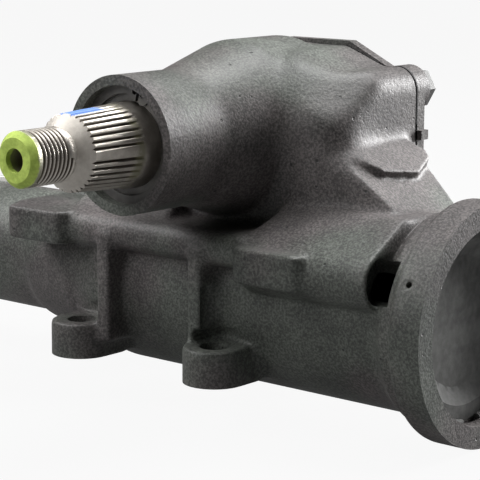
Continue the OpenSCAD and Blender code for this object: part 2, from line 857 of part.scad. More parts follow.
// Ring nut with four spanner notches
module adjuster_locknut() {
    notch_w = 6;
    notch_depth = 3;
    color("silver") placed() along_x(neck_end_x - locknut_thick) difference() {
        tube(locknut_thick, adjuster_thread_r + locknut_wall, adjuster_thread_r + seat_play);
        for (a = [0 : 90 : 270]) rotate([0, 0, a])
            translate([adjuster_thread_r + locknut_wall - notch_depth, -notch_w / 2, -over])
                cube([notch_depth + over, notch_w, locknut_thick + 2 * over]);
    }
}

module stub_bearing() {
    color("gainsboro") placed() along_x(adjuster_x - stub_bearing_len)
        tube(stub_bearing_len, stub_bearing_r - seat_play, stub_r + running_play);
}

module stub_seal() {
    color("black") placed() along_x(stub_seal_x)
        tube(stub_seal_len, stub_seal_r - seat_play, stub_r + running_play);
}

module stub_dust_seal() {
    color("black") placed() along_x(stub_seal_x - dust_seal_len)
        tube(dust_seal_len, stub_seal_r - seat_play, stub_r + running_play);
}

// Two flat races and, between them, a ring of radial needles
module thrust_races(x) {
    for (dx = [0, thrust_thick - race_thick])
        along_x(x + dx) tube(race_thick, worm_flange_r, race_bore_r);
}

module thrust_rollers(x) {
    needle_r = (thrust_thick - 2 * race_thick) / 2 - seat_play;
    needle_len = thrust_needle_r[1] - thrust_needle_r[0];
    along_x(x + thrust_thick / 2) for (i = [0 : thrust_needles - 1])
        rotate([0, 0, i * 360 / thrust_needles]) translate([thrust_needle_r[0], 0, 0])
            rotate([0, 90, 0]) cylinder(h = needle_len, r = needle_r, $fn = small_fn);
}

module upper_thrust_races() {
    color("silver") placed() thrust_races(adjuster_x);
}

module upper_thrust_rollers() {
    color("gainsboro") placed() thrust_rollers(adjuster_x);
}

module lower_thrust_races() {
    color("silver") placed() thrust_races(web_x - thrust_thick);
}

module lower_thrust_rollers() {
    color("gainsboro") placed() thrust_rollers(web_x - thrust_thick);
}

// Brass seats at the bottom of the port threads
module port_seats() {
    color("gold") placed() port_places() translate([0, 0, port_thread_len]) difference() {
        cylinder(h = port_seat_len, r = $port_r - port_seat_step - seat_play);
        translate([0, 0, -over]) cylinder(h = port_seat_len + 2 * over, r = port_passage_r);
    }
}

// Angle between an involute's start and the point where it reaches a radius
function involute_angle(r) = let (a = acos(min(1, sector_base_r / r))) tan(a) * 180 / PI - a;

// Half the angle that a sector tooth spans at a radius
function tooth_half_angle(r) =
    (pitch / 2 - tooth_backlash) / 2 / sector_pitch_r * 180 / PI
    + involute_angle(sector_pitch_r) - involute_angle(r);

function on_circle(r, a) = [r * cos(a), r * sin(a)];

// One tooth on the +x side, from its root up one involute flank and down the other
module sector_tooth() {
    radii = [for (i = [0 : flank_steps]) sector_base_r + (sector_tip_r - sector_base_r) * i / flank_steps];
    foot = sector_root_r - over;
    polygon(concat(
        [on_circle(foot, -tooth_half_angle(sector_base_r))],
        [for (r = radii) on_circle(r, -tooth_half_angle(r))],
        [for (i = [flank_steps : -1 : 0]) on_circle(radii[i], tooth_half_angle(radii[i]))],
        [on_circle(foot, tooth_half_angle(sector_base_r))]
    ));
}

// Hub and toothed segment, with the middle tooth pointing down to the rack
module sector_profile() {
    step = pitch / sector_pitch_r * 180 / PI;
    circle(sector_hub_r);
    rotate(-90) {
        for (i = [0 : sector_teeth - 1]) rotate((i - (sector_teeth - 1) / 2) * step) sector_tooth();
        intersection() {
            circle(sector_root_r);
            polygon([
                [0, 0],
                on_circle(2 * sector_root_r, -sector_half_angle),
                on_circle(2 * sector_root_r, sector_half_angle)
            ]);
        }
    }
}

// Serrations with one blind tooth on each quarter
module serration_section() {
    step = 360 / serration_count;
    half_gap = step / 360 * PI * serration_tip_r;
    cut_r = serration_tip_r + over;
    difference() {
        circle(serration_tip_r, $fn = serration_count * 2);
        for (i = [0 : serration_count - 1]) if (i % (serration_count / 4) != 0)
            rotate(i * step) polygon([[serration_root_r, 0], [cut_r, -half_gap], [cut_r, half_gap]]);
    }
}

// Shaft with the toothed sector, the serrated taper and the output thread
module sector_shaft() {
    thread_r = output_thread_r;
    color("silver") placed() difference() {
        union() {
            along_y(boss_face_y) cylinder(h = shaft_end_y - boss_face_y, r = journal_r);
            between_y(-sector_face_w / 2, sector_face_w / 2)
                translate([0, sector_axis_height]) sector_profile();
            translate([0, boss_face_y, sector_axis_height]) rotate([90, 0, 0])
                linear_extrude(serration_len, scale = serration_shrink) serration_section();
            along_y(boss_face_y - runout_len) cylinder(h = runout_len, r1 = runout_r, r2 = journal_r);
            along_y(thread_end_y) cylinder(h = thread_neck + over, r = thread_r - 1);
            along_y(shaft_tip_y + thread_edge) cylinder(h = output_thread_len - thread_edge, r = thread_r);
            along_y(shaft_tip_y) cylinder(h = thread_edge, r1 = thread_r - thread_edge, r2 = thread_r);
        }
        along_y(shaft_tip_y - over) cylinder(h = centre_hole_depth + over, r = centre_hole_d / 2);
        along_y(shaft_tip_y) cylinder(h = centre_drill_depth, r = centre_hole_d / 4);
        along_y(shaft_end_y - lash_pocket_depth) cylinder(h = lash_pocket_depth + over, r = lash_pocket_r);
    }
}

module lash_adjuster_shim() {
    color("silver") placed() along_y(shaft_end_y - lash_pocket_depth)
        tube(shim_len, lash_pocket_r - seat_play, lash_screw_r + air);
}

// Space above the rack: a flat with one gap under each sector tooth
module rack_cut() {
    tip_z = rack_pitch_z + tooth_addendum;
    root_z = rack_pitch_z - tooth_dedendum;
    gap_half = (pitch / 2 + tooth_backlash) / 2;
    top_half = gap_half + tooth_addendum * tan(pressure_angle);
    root_half = gap_half - tooth_dedendum * tan(pressure_angle);
    translate([-rack_half_len, tip_z]) square([2 * rack_half_len, piston_r]);
    for (i = [0 : sector_teeth - 1]) translate([(i - (sector_teeth - 1) / 2) * pitch, 0]) polygon([
        [-top_half, tip_z],
        [-root_half, root_z],
        [root_half, root_z],
        [top_half, tip_z],
        [top_half, tip_z + over],
        [-top_half, tip_z + over]
    ]);
}

// Piston with the rack on top, the nut bore through it and a pocket for the ball guide below
module rack_piston() {
    pocket_len = last_ball_x - first_ball_x + 2 * (guide_r + air);
    color("silver") placed() difference() {
        along_x(piston_back_x) cylinder(h = piston_len, r = piston_r);
        between_y(-piston_r, piston_r) rack_cut();
        along_x(piston_back_x - over) cylinder(h = piston_len + 2 * over, r = piston_nut_r);
        along_x(ring_groove_x) tube(ring_groove_w, piston_r + over, piston_r - ring_groove_depth);
        translate([first_ball_x - guide_r - air, -guide_pocket_half_w, -piston_r - over])
            cube([pocket_len, 2 * guide_pocket_half_w, piston_r + over + guide_pocket_z]);
        translate([first_ball_x, 0, guide_z]) guide_path(guide_r + seat_play);
        guide_screw_places() translate([0, 0, -over])
            cylinder(h = guide_screw_len + 2 * over, r = guide_screw_r);
    }
}

// The clamp's two screws stand on opposite sides of the guide
module guide_screw_places() {
    for (i = [0, 1]) translate([guide_screw_x[i], guide_screw_y[i], guide_pocket_z]) children();
}

// Bow that carries balls from one end of the track back to the other
module guide_path(r) {
    run = last_ball_x - first_ball_x;
    for (x = [0, run]) translate([x, 0, 0]) {
        cylinder(h = guide_leg, r = r);
        sphere(r);
    }
    rotate([0, 90, 0]) cylinder(h = run, r = r);
}

module ball_return_guide() {
    color("silver") placed() translate([first_ball_x, 0, guide_z]) difference() {
        guide_path(guide_r);
        guide_path(guide_r - guide_wall);
        translate([-guide_r - over, -guide_r - over, -guide_z - piston_nut_r - air])
            cube([last_ball_x - first_ball_x + 2 * (guide_r + over), 2 * (guide_r + over), guide_trim]);
    }
}

// Strap slanting across the guide from one screw to the other
module ball_guide_clamp() {
    color("silver") placed() difference() {
        translate([0, 0, guide_strap_z - clamp_thick]) linear_extrude(clamp_thick) hull()
            for (i = [0, 1])
                translate([guide_screw_x[i], guide_screw_y[i]]) circle(clamp_end_r, $fn = small_fn);
        guide_screw_places() translate([0, 0, -2 * clamp_thick])
            cylinder(h = 3 * clamp_thick, r = guide_screw_r);
    }
}

module ball_guide_screws() {
    head_z = guide_strap_z - clamp_thick - guide_pocket_z;
    color("dimgray") placed() guide_screw_places() translate([0, 0, head_z]) {
        translate([0, 0, -guide_screw_head_len]) cylinder(h = guide_screw_head_len, r = guide_screw_head_r);
        cylinder(h = clamp_thick + guide_screw_len, r = guide_screw_r - seat_play);
    }
}

module piston_ring() {
    color("ivory") placed() along_x(ring_groove_x + seat_play)
        tube(ring_groove_w - 2 * seat_play, piston_r, piston_r - ring_depth);
}

module piston_ring_backup() {
    r_out = piston_r - ring_depth - seat_play;
    r_in = piston_r - ring_groove_depth + seat_play;
    color("black") placed() along_x(ring_groove_x + seat_play)
        tube(ring_groove_w - 2 * seat_play, r_out, r_in);
}

module piston_end_plug() {
    recess = 10;
    color("silver") placed() along_x(piston_front_x - piston_plug_len) difference() {
        cylinder(h = piston_plug_len, r = piston_nut_r - seat_play);
        translate([-recess / 2, -recess / 2, piston_plug_len / 2]) cube([recess, recess, piston_plug_len]);
    }
}

// Balls along the track, turning with it
module track_balls() {
    color("gainsboro") placed() for (i = [0 : ball_count - 1]) along_x(first_ball_x + i * ball_step)
        rotate([0, 0, (first_ball_x + i * ball_step) / worm_lead * 360]) translate([ball_circle_r, 0, 0])
            sphere(ball_r, $fn = small_fn);
}

// Section across the worm, whose groove has a round section along the axis
module worm_section() {
    groove = [for (i = [0 : track_steps])
        let (a = -track_half_angle + 2 * track_half_angle * i / track_steps, dx = a / 360 * worm_lead)
        on_circle(ball_circle_r - sqrt(max(0, track_r * track_r - dx * dx)), a)];
    crown = [for (i = [1 : crown_steps - 1])
        on_circle(worm_r, track_half_angle + (360 - 2 * track_half_angle) * i / crown_steps)];
    polygon(concat(groove, crown));
}

// Worm with its ball track, thrust flange and bore for the torsion bar
module worm() {
    track_len = worm_tip_x - worm_track_x;
    color("silver") placed() difference() {
        union() {
            along_x(worm_track_x) rotate([0, 0, worm_track_x / worm_lead * 360])
                linear_extrude(track_len, twist = -360 * track_len / worm_lead, $fn = track_steps,
                    slices = round(track_len / worm_lead / turns_per_slice)) worm_section();
            along_x(worm_flange_x) cylinder(h = worm_flange_thick, r = worm_flange_r);
            along_x(worm_flange_x) cylinder(h = worm_track_x - worm_flange_x, r = worm_neck_r);
        }
        along_x(worm_flange_x - over)
            cylinder(h = torsion_bar_hold + 2 * over, r = torsion_bar_r + running_play);
        drive_pin_shape(pin_r + seat_play);
    }
}

// Pin that locks the valve body to the worm's flange
module drive_pin_shape(r) {
    translate([0, 0, drive_pin_z]) along_x(worm_flange_x - drive_pin_len / 2)
        cylinder(h = drive_pin_len, r = r);
}

module valve_body() {
    color("silver") placed() difference() {
        along_x(valve_body_x) tube(valve_body_len, valve_body_r, spool_r + running_play);
        for (i = [0 : valve_ring_count - 1]) along_x(valve_ring_x(i))
            tube(valve_ring_w, valve_body_r + over, valve_body_r - valve_ring_depth);
        drive_pin_shape(pin_r + seat_play);
    }
}

function valve_ring_x(i) = valve_body_x + valve_ring_edge + i * valve_ring_step;

module valve_body_rings() {
    r_out = valve_bore_r - running_play;
    r_in = valve_body_r - valve_ring_depth + seat_play;
    color("ivory") placed() for (i = [0 : valve_ring_count - 1])
        along_x(valve_ring_x(i) + seat_play) tube(valve_ring_w - 2 * seat_play, r_out, r_in);
}

module valve_drive_pin() {
    color("silver") placed() drive_pin_shape(pin_r);
}

module torsion_bar() {
    color("gainsboro") placed() difference() {
        along_x(torsion_bar_x)
            cylinder(h = worm_flange_x + torsion_bar_hold - torsion_bar_x, r = torsion_bar_r);
        cross_pin_shape(cross_pin_r + seat_play);
    }
}

// Straight splines on the input end of the stub shaft
module input_splines() {
    step = 360 / spline_count;
    r = input_spline_d / 2;
    half_gap = step / 360 * PI * r;
    difference() {
        circle(r, $fn = spline_count * 2);
        for (i = [0 : spline_count - 1]) rotate(i * step)
            polygon([[r - spline_depth, 0], [r + over, -half_gap], [r + over, half_gap]]);
    }
}

module stub_shaft() {
    color("silver") placed() difference() {
        union() {
            along_x(stub_end_x) linear_extrude(input_spline_len) input_splines();
            along_x(stub_end_x + input_spline_len)
                cylinder(h = worm_flange_x - stub_end_x - input_spline_len - air, r = stub_r);
        }
        along_x(torsion_bar_x) cylinder(h = worm_flange_x - torsion_bar_x, r = torsion_bar_r + seat_play);
        cross_pin_shape(cross_pin_r + seat_play);
    }
}

module valve_spool() {
    color("silver") placed() along_x(valve_body_x + spool_inset)
        tube(valve_body_len - 2 * spool_inset, spool_r, stub_r + seat_play);
}

module torsion_bar_pin() {
    color("silver") placed() cross_pin_shape(cross_pin_r);
}

// Pin through the stub shaft and the torsion bar's outer end
module cross_pin_shape(r) {
    translate([cross_pin_x, 0, -stub_r + air]) cylinder(h = 2 * (stub_r - air), r = r);
}

gear_housing();
side_cover();
side_cover_gasket();
side_cover_bolts();
side_cover_bushing();
lash_adjuster_screw();
lash_adjuster_nut();
sector_bearing_shell();
sector_bearing_rollers();
inner_shaft_seal();
seal_backup_washer();
outer_shaft_seal();
seal_washer();
seal_retaining_ring();
end_plug();
end_plug_seal();
end_plug_retaining_ring();
adjuster_plug();
adjuster_plug_seal();
adjuster_locknut();
stub_bearing();
stub_seal();
stub_dust_seal();
upper_thrust_races();
upper_thrust_rollers();
lower_thrust_races();
lower_thrust_rollers();
port_seats();
sector_shaft();
lash_adjuster_shim();
rack_piston();
piston_ring();
piston_ring_backup();
piston_end_plug();
track_balls();
ball_return_guide();
ball_guide_clamp();
ball_guide_screws();
worm();
valve_body();
valve_body_rings();
valve_drive_pin();
torsion_bar();
stub_shaft();
valve_spool();
torsion_bar_pin();
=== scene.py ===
import json
import math

import bmesh
import bpy
import numpy as np
from mathutils import Matrix, Vector


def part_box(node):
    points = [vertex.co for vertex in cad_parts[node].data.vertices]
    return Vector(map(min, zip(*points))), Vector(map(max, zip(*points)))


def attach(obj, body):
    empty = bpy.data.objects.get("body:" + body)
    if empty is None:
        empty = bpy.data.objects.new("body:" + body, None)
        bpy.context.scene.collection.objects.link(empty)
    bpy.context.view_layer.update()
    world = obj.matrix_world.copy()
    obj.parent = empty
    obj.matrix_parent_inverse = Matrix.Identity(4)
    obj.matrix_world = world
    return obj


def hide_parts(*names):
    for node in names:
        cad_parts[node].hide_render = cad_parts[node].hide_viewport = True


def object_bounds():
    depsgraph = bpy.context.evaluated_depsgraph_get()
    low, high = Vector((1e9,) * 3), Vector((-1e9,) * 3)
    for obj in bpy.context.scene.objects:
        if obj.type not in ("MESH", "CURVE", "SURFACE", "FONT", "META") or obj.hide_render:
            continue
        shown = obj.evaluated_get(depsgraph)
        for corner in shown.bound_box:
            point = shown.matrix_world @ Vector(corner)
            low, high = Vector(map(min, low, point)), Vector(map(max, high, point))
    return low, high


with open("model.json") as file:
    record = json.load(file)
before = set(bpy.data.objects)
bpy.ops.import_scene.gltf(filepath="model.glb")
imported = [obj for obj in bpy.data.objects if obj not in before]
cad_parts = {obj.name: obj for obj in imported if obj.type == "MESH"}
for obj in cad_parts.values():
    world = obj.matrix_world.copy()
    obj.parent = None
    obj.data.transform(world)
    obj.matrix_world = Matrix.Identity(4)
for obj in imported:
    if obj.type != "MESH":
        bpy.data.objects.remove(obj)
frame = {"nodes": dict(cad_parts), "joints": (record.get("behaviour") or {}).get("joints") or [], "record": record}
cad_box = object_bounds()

# Studio
# A plain pale floor under the end ring, soft boxes overhead and behind, little light from the front,
# and the camera where the photograph was taken, low on the output side.
mm = 0.001
scene = bpy.context.scene
scene.view_settings.view_transform = "Standard"

view_azimuth = math.radians(40.28)
view_height = math.radians(10.55)
view_roll = math.radians(0.18)
view_distance = 822.4 * mm
view_offset = (-6.1 * mm, 19.5 * mm)
photo_side = 480
focal_pixels = 1868.11
sensor = 36.0

worm_axis = Vector(next(j["pos_m"] for j in frame["joints"] if j["name"] == "worm_turn"))
sector_axis = Vector(next(j["pos_m"] for j in frame["joints"] if j["name"] == "sector_swing"))

back = Vector((math.sin(view_azimuth) * math.cos(view_height),
               -math.cos(view_azimuth) * math.cos(view_height), math.sin(view_height)))
level = Vector((math.cos(view_azimuth), math.sin(view_azimuth), 0))
upright = back.cross(level)
right = level * math.cos(view_roll) + upright * math.sin(view_roll)
up = upright * math.cos(view_roll) - level * math.sin(view_roll)
eye = worm_axis + back * view_distance + right * view_offset[0] + up * view_offset[1]
lens = bpy.data.cameras.new("camera")
lens.sensor_width = sensor
lens.lens = focal_pixels / photo_side * sensor
camera = bpy.data.objects.new("camera", lens)
camera.matrix_world = Matrix((
    (right.x, up.x, back.x, eye.x),
    (right.y, up.y, back.y, eye.y),
    (right.z, up.z, back.z, eye.z),
    (0, 0, 0, 1)))
scene.collection.objects.link(camera)
scene.camera = camera


class Wire:
    """A socket of a node tree, so that node maths reads as plain arithmetic."""

    def __init__(self, tree, socket=None):
        self.tree = tree
        self.socket = socket

    def node(self, kind, settings=None, inputs=None, output=0):
        """Adds a node: its settings are set first, then its sockets get values or links."""
        made = self.tree.nodes.new(kind)
        for name, value in (settings or {}).items():
            if name == "stops":
                ramp = made.color_ramp
                while len(ramp.elements) < len(value):
                    ramp.elements.new(1.0)
                for element, (place, colour) in zip(ramp.elements, value):
                    element.position = place
                    element.color = colour
            else:
                setattr(made, name, value)
        for name, value in (inputs or {}).items():
            if isinstance(value, Wire):
                self.tree.links.new(value.socket, made.inputs[name])
            else:
                made.inputs[name].default_value = value
        return Wire(self.tree, made.outputs[output] if made.outputs else None)

    def maths(self, operation, first, second=0.0):
        return self.node("ShaderNodeMath", {"operation": operation}, {0: first, 1: second})

    def __add__(self, other):
        return self.maths("ADD", self, other)

    __radd__ = __add__

    def __mul__(self, other):
        return self.maths("MULTIPLY", self, other)

    __rmul__ = __mul__

    def __sub__(self, other):
        return self.maths("SUBTRACT", self, other)

    def __rsub__(self, other):
        return self.maths("SUBTRACT", other, self)

    def __truediv__(self, other):
        return self.maths("DIVIDE", self, other)

    def __rtruediv__(self, other):
        return self.maths("DIVIDE", other, self)

    def __pow__(self, other):
        return self.maths("POWER", self, other)

    def between(self, low, high, smooth=True):
        """0 below low, 1 above high, and a ramp between them."""
        settings = {"interpolation_type": "SMOOTHSTEP" if smooth else "LINEAR"}
        return self.node("ShaderNodeMapRange", settings,
                         {"Value": self, "From Min": low, "From Max": high})

    def blend(self, first, second):
        """Goes from the first colour to the second as this value goes from 0 to 1."""
        return self.node("ShaderNodeMix", {"data_type": "RGBA"},
                         {"Factor": self, "A": first, "B": second}, output=2)

    def into(self, shader, name):
        self.tree.links.new(self.socket, shader.inputs[name])


def new_material(name):
    """An empty material and a wire in its tree, with the Principled shader as the surface."""
    material = bpy.data.materials.new(name)
    material.use_nodes = True
    tree = material.node_tree
    return material, Wire(tree), tree.nodes["Principled BSDF"]


floor_reach = 8.0
floor_colour = (0.2, 0.2, 0.2, 1)
floor_rough = 0.9
floor_gloss = 0.1
floor_white = 0.93
mirror_share = 0.15
floor_z = cad_box[0][2]
floor_mesh = bpy.data.meshes.new("floor")
floor_mesh.from_pydata([(x * floor_reach, y * floor_reach, floor_z)
                        for x, y in ((-1, -1), (1, -1), (1, 1), (-1, 1))], [], [(0, 1, 2, 3)])
floor = bpy.data.objects.new("floor", floor_mesh)
scene.collection.objects.link(floor)
floor_material, wire, shader = new_material("pale floor")
shader.inputs["Base Color"].default_value = floor_colour
shader.inputs["Roughness"].default_value = floor_rough
shader.inputs["Specular IOR Level"].default_value = floor_gloss
camera_ray = wire.node("ShaderNodeLightPath")
mirror_ray = Wire(wire.tree, camera_ray.socket.node.outputs["Is Glossy Ray"])
glass_ray = Wire(wire.tree, camera_ray.socket.node.outputs["Is Transmission Ray"])
white = wire.node("ShaderNodeEmission", None, {"Color": (1, 1, 1, 1), "Strength": 1.0})
shown_white = (camera_ray + glass_ray + mirror_ray * mirror_share).between(0, 1, False) * floor_white
floor_look = wire.node("ShaderNodeMixShader", None,
                       {0: shown_white, 1: Wire(wire.tree, shader.outputs[0]), 2: white})
wire.tree.links.new(floor_look.socket, wire.tree.nodes["Material Output"].inputs["Surface"])
floor_mesh.materials.append(floor_material)

room_light = 0.02
world = bpy.data.worlds.new("room")
world.use_nodes = True
scene.world = world
room = world.node_tree.nodes["Background"]
room.inputs["Color"].default_value = (1, 1, 1, 1)
room.inputs["Strength"].default_value = room_light

light_target = Vector((0.03, 0, 0.06))
soft_boxes = (
    ("overhead box", (0.03, 0.4, 1.3), 0.6, 20),
    ("right rear box", (0.6, 0.98, 0.7), 0.45, 8),
    ("low rear box", (0.42, 1.2, 0.37), 0.45, 26),
    ("front overhead box", (0.03, -0.4, 1.3), 0.6, 5),
    ("front left box", (-0.37, -1.11, 0.61), 0.6, 4.5),
    ("left box", (-0.87, -0.42, 0.9), 0.6, 9))
for name, lamp_place, side, power in soft_boxes:
    lamp = bpy.data.lights.new(name, "AREA")
    lamp.shape = "SQUARE"
    lamp.size = side
    lamp.energy = power
    stand = bpy.data.objects.new(name, lamp)
    facing = (light_target - Vector(lamp_place)).to_track_quat("-Z", "Y")
    stand.matrix_world = Matrix.Translation(lamp_place) @ facing.to_matrix().to_4x4()
    scene.collection.objects.link(stand)

# Gear housing
# One grey-iron sand casting: barrel, valve neck, tower, output boss, ears and ribs, with generous
# fillets, sprayed in dark satin grey. Only its faces, bores and threads are machined.
grid_step = 0.9 * mm
fillet_passes = 24
wide_passes = 40
round_passes = 12
lobe_passes = 160
spare = 5 * mm
skin = 0.01 * mm
press_fit = 3 * skin
running_fit = 5 * skin
housing_low, housing_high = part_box("gear_housing")
boss_face = housing_low.y
end_face = housing_high.x
neck_face = housing_low.x


def merged_copy(node):
    """A bmesh of a CAD node with its loose triangles joined."""
    shape = bmesh.new()
    shape.from_mesh(frame["nodes"][node].data)
    bmesh.ops.remove_doubles(shape, verts=shape.verts, dist=0.002 * mm)
    return shape


def add_rod(shape, axis, start, end, radius, centre, sides=128):
    """Adds a closed cylinder along the x, y or z axis between two places."""
    direction = Vector((axis == "x", axis == "y", axis == "z"))
    middle = Vector(centre)
    middle["xyz".index(axis)] = (start + end) / 2
    turned = Vector((0, 0, 1)).rotation_difference(direction).to_matrix().to_4x4()
    bmesh.ops.create_cone(shape, cap_ends=True, segments=sides, radius1=radius, radius2=radius,
                          depth=abs(end - start), matrix=Matrix.Translation(middle) @ turned)


def add_block(shape, low, high):
    """Adds a closed box between two corners."""
    low, high = Vector(low), Vector(high)
    size = Matrix.Diagonal((*(high - low), 1))
    bmesh.ops.create_cube(shape, size=1, matrix=Matrix.Translation((low + high) / 2) @ size)


def as_object(name, shape):
    """Turns a bmesh into a linked object at the origin."""
    bmesh.ops.recalc_face_normals(shape, faces=shape.faces)
    mesh = bpy.data.meshes.new(name)
    shape.to_mesh(mesh)
    shape.free()
    made = bpy.data.objects.new(name, mesh)
    scene.collection.objects.link(made)
    return made


def baked(made):
    """Replaces an object's mesh by what its modifiers give, and removes them."""
    ready = made.evaluated_get(bpy.context.evaluated_depsgraph_get())
    mesh = bpy.data.meshes.new_from_object(ready)
    made.modifiers.clear()
    made.data = mesh
    return made


def radius_of(node, axis):
    """Half a round node's width across an axis."""
    low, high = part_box(node)
    across = "z" if axis != "z" else "x"
    return (high["xyz".index(across)] - low["xyz".index(across)]) / 2


plug_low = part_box("end_plug")[0]
snap_low, snap_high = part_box("seal_retaining_ring")
gasket_low, gasket_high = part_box("side_cover_gasket")
wire_low, wire_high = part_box("end_plug_retaining_ring")
shell_low, shell_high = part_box("sector_bearing_shell")
races_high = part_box("lower_thrust_races")[1]
bolts = next(m for m in frame["record"]["mounts"] if m["name"] == "frame_bolts")
ports = [m for m in frame["record"]["mounts"] if m["name"].endswith("_port")]
boss_radius = 28.4 * mm
neck_radius = 29 * mm
end_radius = worm_axis.z - housing_low.z
ear_radius = 13.5 * mm
ear_thick = 15.5 * mm
ear_hole = bolts["dims"]["hole_r_mm"] * mm
port_boss_radius = 14 * mm
port_face = max(p["pos_m"][1] + p["dims"]["length_mm"] / 2 * mm for p in ports)
ear_places = [(x * bolts["dims"]["spacing_x_mm"] / 2 * mm, y * bolts["dims"]["spacing_y_mm"] / 2 * mm)
              for x in (-1, 1) for y in (-1, 1)]
hub_opening = 32 * mm
tooth_opening = 47.8 * mm
opening_step = 6 * mm
opening_front = sector_axis.y - 17.5 * mm
shaft_hole = 18.45 * mm
piston_stop = worm_axis.x - 70 * mm
web_hole = 15.5 * mm
adjuster_depth = 22 * mm
cover_bolt_places = [(x * mm, z * mm) for x, z in (
    (70.5, 117.8), (70.5, 69.8), (-28.5, 69.8), (-28.5, 104.8))]
cover_bolt_hole = 5 * mm
cover_bolt_depth = 18 * mm
punch_radius = 1.3 * mm
punch_fill_radius = 2.2 * mm
punch_x = worm_axis.x + 113.8 * mm
punch_turn = Matrix.Rotation(math.radians(63), 4, "X")
pocket_radius = 9.5 * mm
pocket_start = worm_axis.x + 88 * mm
pocket_centre = (0, worm_axis.y - 38 * mm, worm_axis.z + 20 * mm)


def add_punch_pin(shape, radius, length, sunk):
    """Adds a pin square to the end collar's outside, its middle sunk below the outside."""
    stand = Matrix.Translation((punch_x, *worm_axis.yz)) @ punch_turn
    bmesh.ops.create_cone(shape, cap_ends=True, segments=32, radius1=radius, radius2=radius, depth=length,
                          matrix=stand @ Matrix.Translation((0, 0, end_radius - sunk)))


# The casting before machining: bores plugged, and stock left on each face that is cut later
raw = merged_copy("gear_housing")
add_rod(raw, "x", end_face - spare, end_face + spare, end_radius - skin, worm_axis)
add_rod(raw, "x", neck_face - spare, neck_face + spare, neck_radius - skin, worm_axis)
add_rod(raw, "y", boss_face - spare, boss_face + spare, boss_radius - skin, sector_axis)
add_rod(raw, "y", gasket_low.y - spare, gasket_low.y, hub_opening + spare / 2, sector_axis)
add_block(raw,
          (sector_axis.x - tooth_opening, gasket_low.y - spare, sector_axis.z - tooth_opening + spare),
          (sector_axis.x + tooth_opening, gasket_low.y, sector_axis.z - opening_step))
for port in ports:
    add_rod(raw, "y", port_face - spare, port_face + spare, port_boss_radius - skin, port["pos_m"])
for x, y in ear_places:
    add_rod(raw, "z", -spare, spare, ear_radius - skin, (x, y, 0))
    inward = -1 if y > 0 else 1
    add_block(raw, (x - ear_radius + skin, min(y, y + inward * ear_radius), -spare),
              (x + ear_radius - skin, max(y, y + inward * ear_radius), spare))
    add_rod(raw, "z", -spare, ear_thick - 2 * mm, ear_hole + 0.5 * mm, (x, y, 0))
add_punch_pin(raw, punch_fill_radius, 12 * mm, 7.5 * mm)
stock = merged_copy("side_cover_gasket")
for vert in stock.verts:
    outer = vert.co.y > (gasket_low.y + gasket_high.y) / 2
    vert.co.y = gasket_low.y + (spare if outer else -spare)
stock_mesh = bpy.data.meshes.new("flange stock")
stock.to_mesh(stock_mesh)
stock.free()
raw.from_mesh(stock_mesh)
casting = as_object("cast_housing", raw)
remesh = casting.modifiers.new("grid", "REMESH")
remesh.mode = "VOXEL"
remesh.voxel_size = grid_step
baked(casting)


def neighbours(mesh):
    """Edge ends and the number of edges at each vertex of a mesh."""
    ends = np.empty(len(mesh.edges) * 2, np.int32)
    mesh.edges.foreach_get("vertices", ends)
    ends = ends.reshape(-1, 2)
    count = np.bincount(ends.ravel(), minlength=len(mesh.vertices)).astype(float)
    return ends, count[:, None]


def drawn_in(places, ends, count):
    """How far each vertex lies from the mean of its neighbours."""
    total = np.stack([np.bincount(ends[:, 0], places[ends[:, 1], i], len(places))
                      + np.bincount(ends[:, 1], places[ends[:, 0], i], len(places)) for i in range(3)], 1)
    return total / count - places


def vertex_normals(mesh):
    normals = np.empty(len(mesh.vertices) * 3, np.float32)
    mesh.vertex_normals.foreach_get("vector", normals)
    return normals.reshape(-1, 3).astype(float)


def near(places, centre, reach):
    """1 at a centre, fading to 0 at a distance from it on each axis."""
    far = np.linalg.norm((places - np.array(centre)) / np.array(reach), axis=1)
    left = np.clip(1 - far, 0, 1)
    return (left * left * (3 - 2 * left))[:, None]


def smoothed(places, ends, weight, passes):
    """Draws the vertices that have a weight towards the mean of their neighbours, pass after pass."""
    held = weight[:, 0] > 0
    local = ends[held[ends[:, 0]] | held[ends[:, 1]]]
    used, local = np.unique(local, return_inverse=True)
    local = local.reshape(-1, 2)
    count = np.bincount(local.ravel()).astype(float)[:, None]
    part, weight = places[used], weight[used]
    for i in range(passes):
        part = part + 0.5 * drawn_in(part, local, count) * weight
    places[used] = part


# Fillets: hollows are filled out along the surface's normal, more where the tower flows into the boss,
# then every edge is rounded a little. The corner over the near cover bolt slopes away
# and is rounded most; the raised pad and the end collar stay crisp.
mesh = casting.data
places = np.empty(len(mesh.vertices) * 3, np.float32)
mesh.vertices.foreach_get("co", places)
places = places.reshape(-1, 3).astype(float)
ends, count = neighbours(mesh)
pad_centre = sector_axis + Vector((75, 9, -14)) * mm
pad_reach = (30 * mm, 34 * mm, 24 * mm)
lobe_centre = sector_axis + Vector((48, -15, 14)) * mm
lobe_reach = (36 * mm, 34 * mm, 36 * mm)
collar_start = worm_axis.x + 98 * mm
collar_core = 41 * mm
from_worm = np.linalg.norm(places[:, 1:] - np.array(worm_axis)[1:], axis=1)[:, None]
collar = (np.clip((places[:, :1] - collar_start) / (2 * mm), 0, 1)
          * np.clip((from_worm - collar_core) / (2 * mm), 0, 1))
crisp = np.maximum(near(places, pad_centre, pad_reach) * 1.6, collar * 0.8)
ease = 1 - np.clip(crisp, 0, 0.85)
lobe = np.clip(near(places, lobe_centre, lobe_reach) * 2, 0, 1)
slope = np.array(Vector((0.54, -0.47, 0.7)).normalized())
slope_foot = np.array(worm_axis + Vector((36, -23, 88)) * mm)
slope_start, slope_end = worm_axis.x + 28 * mm, worm_axis.x + 72 * mm
over = np.clip((places - slope_foot) @ slope, 0, None)[:, None]
